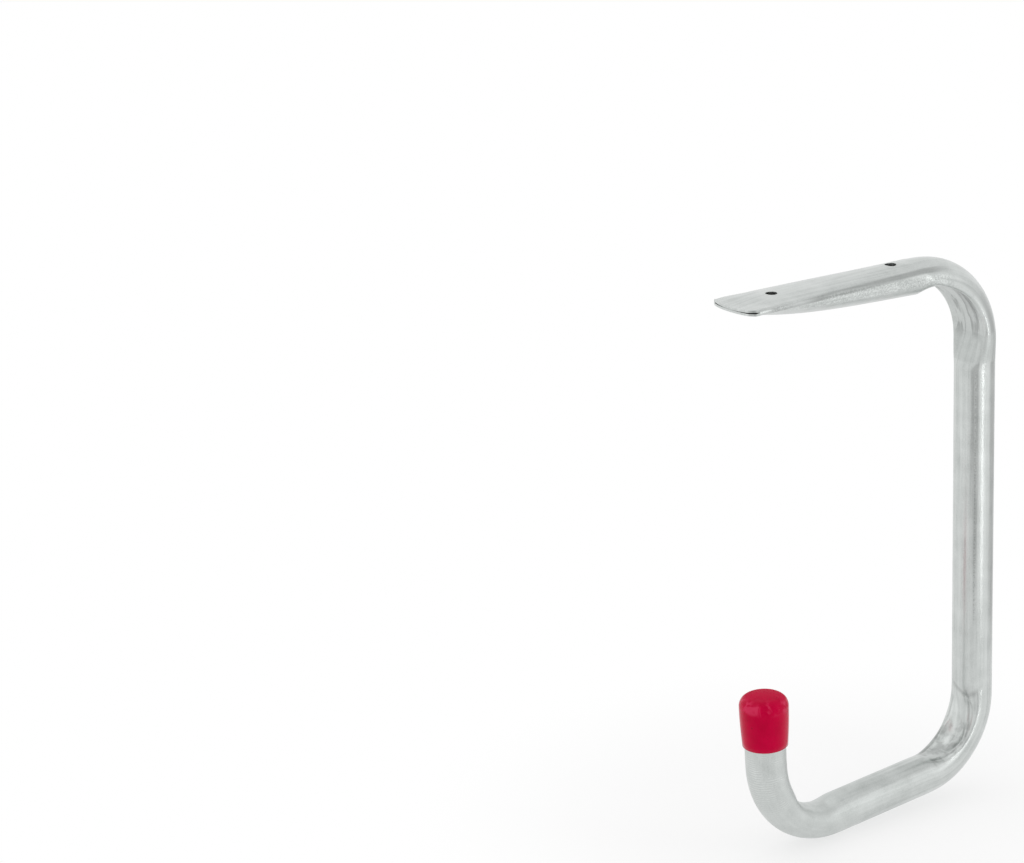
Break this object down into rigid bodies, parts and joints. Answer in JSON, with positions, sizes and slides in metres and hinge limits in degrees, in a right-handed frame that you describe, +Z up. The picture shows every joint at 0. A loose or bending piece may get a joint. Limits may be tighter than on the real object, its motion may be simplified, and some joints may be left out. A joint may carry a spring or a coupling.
{
  "type": "storage hook",
  "caption": "Bent steel tube hook with a pressed, drilled tang to screw up under a beam, an open cradle below and a soft red end cap.",
  "frame": {"origin": "midway between the two screw holes, on the plane of the tang's upper side", "axes": "+Z up, out of the tang towards the beam; +X along the tang from its tip to the leg; the tube is bent in the plane Y = 0"},
  "size_m": [0.1636, 0.0278, 0.2679],
  "materials": {
    "zinc_steel": "bright zinc plate",
    "red_vinyl": "glossy soft vinyl"
  },
  "bodies": {
    "root": {"hook_tube": "zinc_steel", "end_cap": "red_vinyl"}
  },
  "joints": []
}
